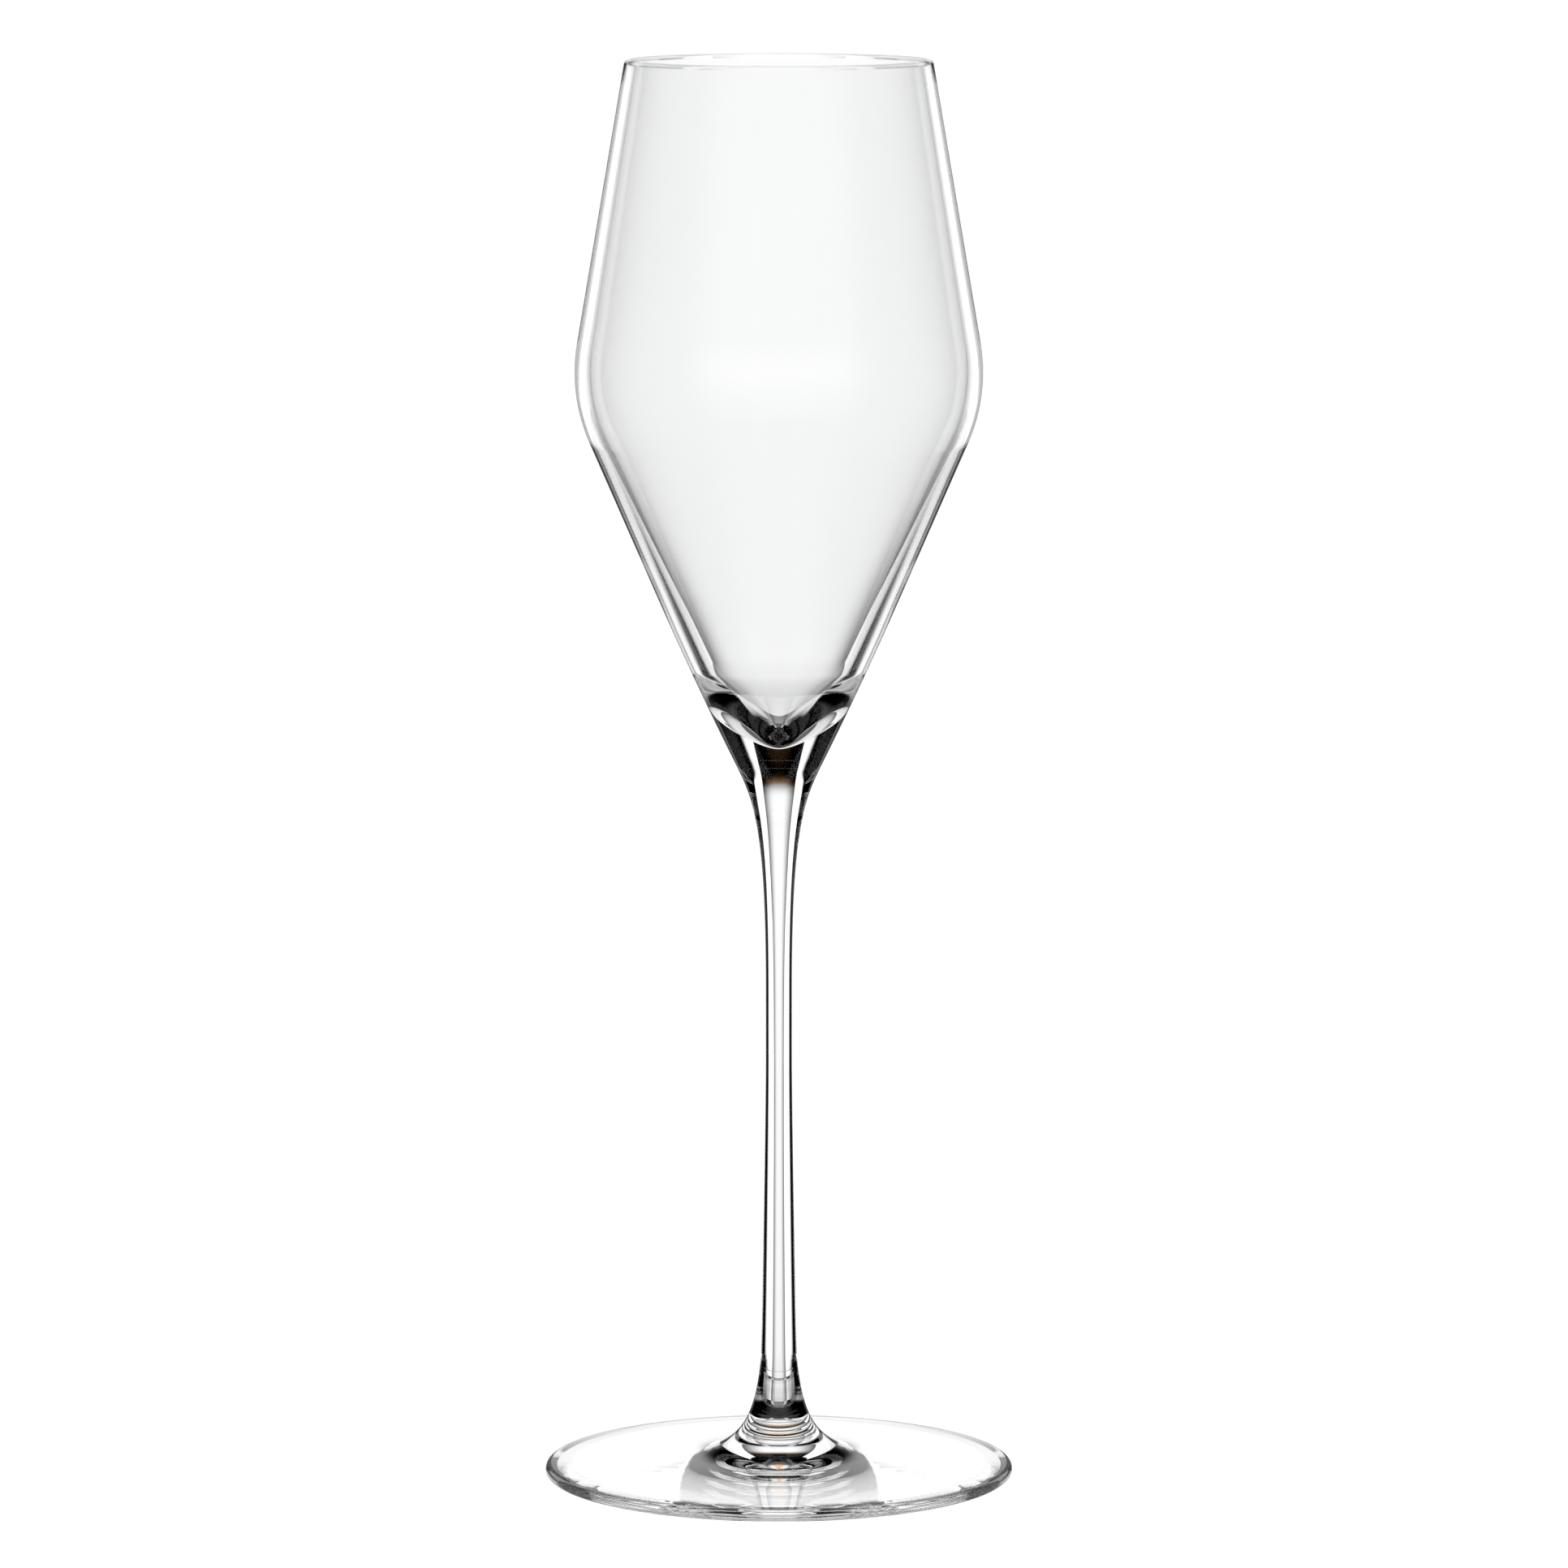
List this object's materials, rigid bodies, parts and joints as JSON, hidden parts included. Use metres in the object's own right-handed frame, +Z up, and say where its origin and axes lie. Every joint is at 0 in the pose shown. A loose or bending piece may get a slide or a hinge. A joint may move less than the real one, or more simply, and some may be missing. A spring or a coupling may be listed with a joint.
{
  "type": "champagne flute",
  "caption": "Tall stemmed flute of clear crystal: a cup with a soft corner at its widest point, a slim drawn stem and a flat round foot.",
  "frame": {"origin": "middle of the circle on which the foot stands, on the table", "axes": "+Z up the axis of the glass, from the foot to the rim; X and Y lie in the table and are alike"},
  "size_m": [0.0826, 0.0826, 0.25],
  "materials": {
    "bowl_crystal": "blown clear crystal, fire-polished, bright",
    "stem_crystal": "drawn clear crystal, fire-polished, bright",
    "foot_crystal": "pressed clear crystal, bright, with fine wear on the ring it stands on"
  },
  "bodies": {
    "root": {"bowl": "bowl_crystal", "stem": "stem_crystal", "foot": "foot_crystal"}
  },
  "joints": []
}
